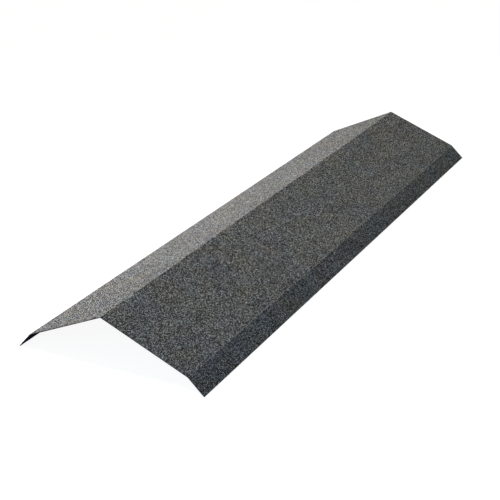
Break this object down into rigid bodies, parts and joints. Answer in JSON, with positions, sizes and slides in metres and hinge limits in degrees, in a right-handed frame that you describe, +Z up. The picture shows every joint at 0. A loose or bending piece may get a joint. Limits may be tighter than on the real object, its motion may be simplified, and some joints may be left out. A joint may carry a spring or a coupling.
{
  "type": "roof ridge cap",
  "caption": "Long folded sheet cap with a chip-coated weather side: sloping wings meet at the ridge and each ends in a turned-down flange.",
  "frame": {"origin": "midway along the cap and midway between its two bottom edges, on the level they rest on", "axes": "+Z up, +Y along the ridge, +X across it from the ridge to one flange"},
  "size_m": [0.3566, 1.12, 0.093],
  "materials": {
    "stone_chip_coat": "matt charcoal stone chips bonded over coated steel sheet on the weather side, dull black coat underneath, bare cut edges"
  },
  "bodies": {
    "root": {"ridge_cap": "stone_chip_coat"}
  },
  "joints": []
}
